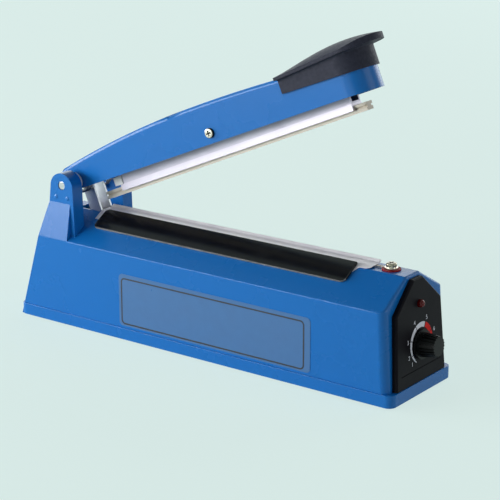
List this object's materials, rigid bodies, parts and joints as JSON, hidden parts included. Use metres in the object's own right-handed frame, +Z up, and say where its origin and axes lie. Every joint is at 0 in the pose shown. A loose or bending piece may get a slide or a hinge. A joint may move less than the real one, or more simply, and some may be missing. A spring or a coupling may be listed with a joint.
{
  "type": "impulse heat sealer",
  "caption": "Table-top impulse heat sealer: a hinged lever arm presses a sprung-open bar on a heated strip along a sloped housing, with a dial timer on its end.",
  "frame": {"origin": "on the table under the middle of the housing's length and width", "axes": "+X from the hinge to the control panel, -Y to the front, +Z up"},
  "size_m": [0.3153, 0.0724, 0.2215],
  "materials": {
    "blue_shell": "smooth gloss moulding",
    "black_trim": "fine satin grain",
    "black_plate": "satin black paint",
    "bar_aluminium": "drawn and bright",
    "plated_steel": "zinc plated",
    "bright_screws": "bright nickel plate",
    "silicone": "matte beige silicone",
    "white_nylon": "satin nylon",
    "ptfe_cloth": "smooth coated cloth",
    "insulator": "flat laminate",
    "element_ribbon": "rolled resistance ribbon",
    "brass_block": "machined brass",
    "red_fibre": "pressed fibre",
    "lamp_lens": "clear red lens",
    "sheet_steel": "grey paint",
    "black_rubber": "matte rubber",
    "core_steel": "varnished laminations",
    "coil_winding": "wound wire under tape",
    "board_laminate": "printed board",
    "dark_case": "moulded case",
    "red_button": "moulded button",
    "label_film": "thin printed film, left bare"
  },
  "bodies": {
    "base": {"bottom_plate": "sheet_steel", "bottom_screws": "bright_screws", "clamp_nuts": "bright_screws", "control_panel": "black_trim", "cord_grommet": "black_rubber", "element_anchor": "brass_block", "fibre_washers": "red_fibre", "front_clamp_plate": "black_plate", "heat_bar": "insulator", "heating_element": "element_ribbon", "hinge_pin": "bright_screws", "hinge_washers": "white_nylon", "housing": "blue_shell", "indicator_lamp": "lamp_lens", "label_film": "label_film", "lift_springs": "plated_steel", "micro_switch": "dark_case", "pot_nut": "bright_screws", "potentiometer": "plated_steel", "ptfe_cover": "ptfe_cloth", "rear_clamp_plate": "black_plate", "rubber_feet": "black_rubber", "strap_screws": "bright_screws", "switch_screws": "bright_screws", "terminal_nut": "bright_screws", "terminal_screw": "bright_screws", "terminal_washers": "bright_screws", "timer_board": "board_laminate", "timer_capacitor": "dark_case", "timer_relay": "dark_case", "transformer_coil": "coil_winding", "transformer_core": "core_steel", "transformer_strap": "plated_steel"},
    "arm": {"arm_shell": "blue_shell", "handle_cap": "black_trim", "cap_screws": "bright_screws", "switch_tongue": "plated_steel", "tongue_screw": "bright_screws", "rock_screw": "bright_screws", "rock_nut": "bright_screws", "rock_spacers": "white_nylon"},
    "bar": {"bar_carrier": "plated_steel", "pressure_bar": "bar_aluminium", "silicone_strip": "silicone", "bar_clip": "white_nylon"},
    "knob": {"timer_knob": "black_trim", "pot_shaft": "bright_screws"},
    "plunger": {"switch_plunger": "red_button"}
  },
  "joints": [
    {"name": "arm_hinge", "type": "hinge", "parent": "base", "child": "arm", "pos_m": [-0.115, 0, 0.0975], "axis": [0, 1, 0], "range_deg": [0, 23.33], "stiffness_Nm_per_rad": 0.35, "springref_deg": -68.75, "deforming": ["lift_springs"]},
    {"name": "bar_rock", "type": "hinge", "parent": "arm", "child": "bar", "pos_m": [0.00024, 0, 0.1472], "axis": [0, 1, 0], "range_deg": [-0.4, 0.4]},
    {"name": "timer_dial", "type": "hinge", "parent": "base", "child": "knob", "pos_m": [0.14633, 0, 0.03273], "axis": [-0.9978, 0, -0.0663], "range_deg": [-70, 157]},
    {"name": "switch_press", "type": "slide", "parent": "base", "child": "plunger", "axis": [-1, 0, 0], "range_m": [0, 0.0008], "stiffness_N_per_m": 400, "springref_m": -0.001}
  ]
}
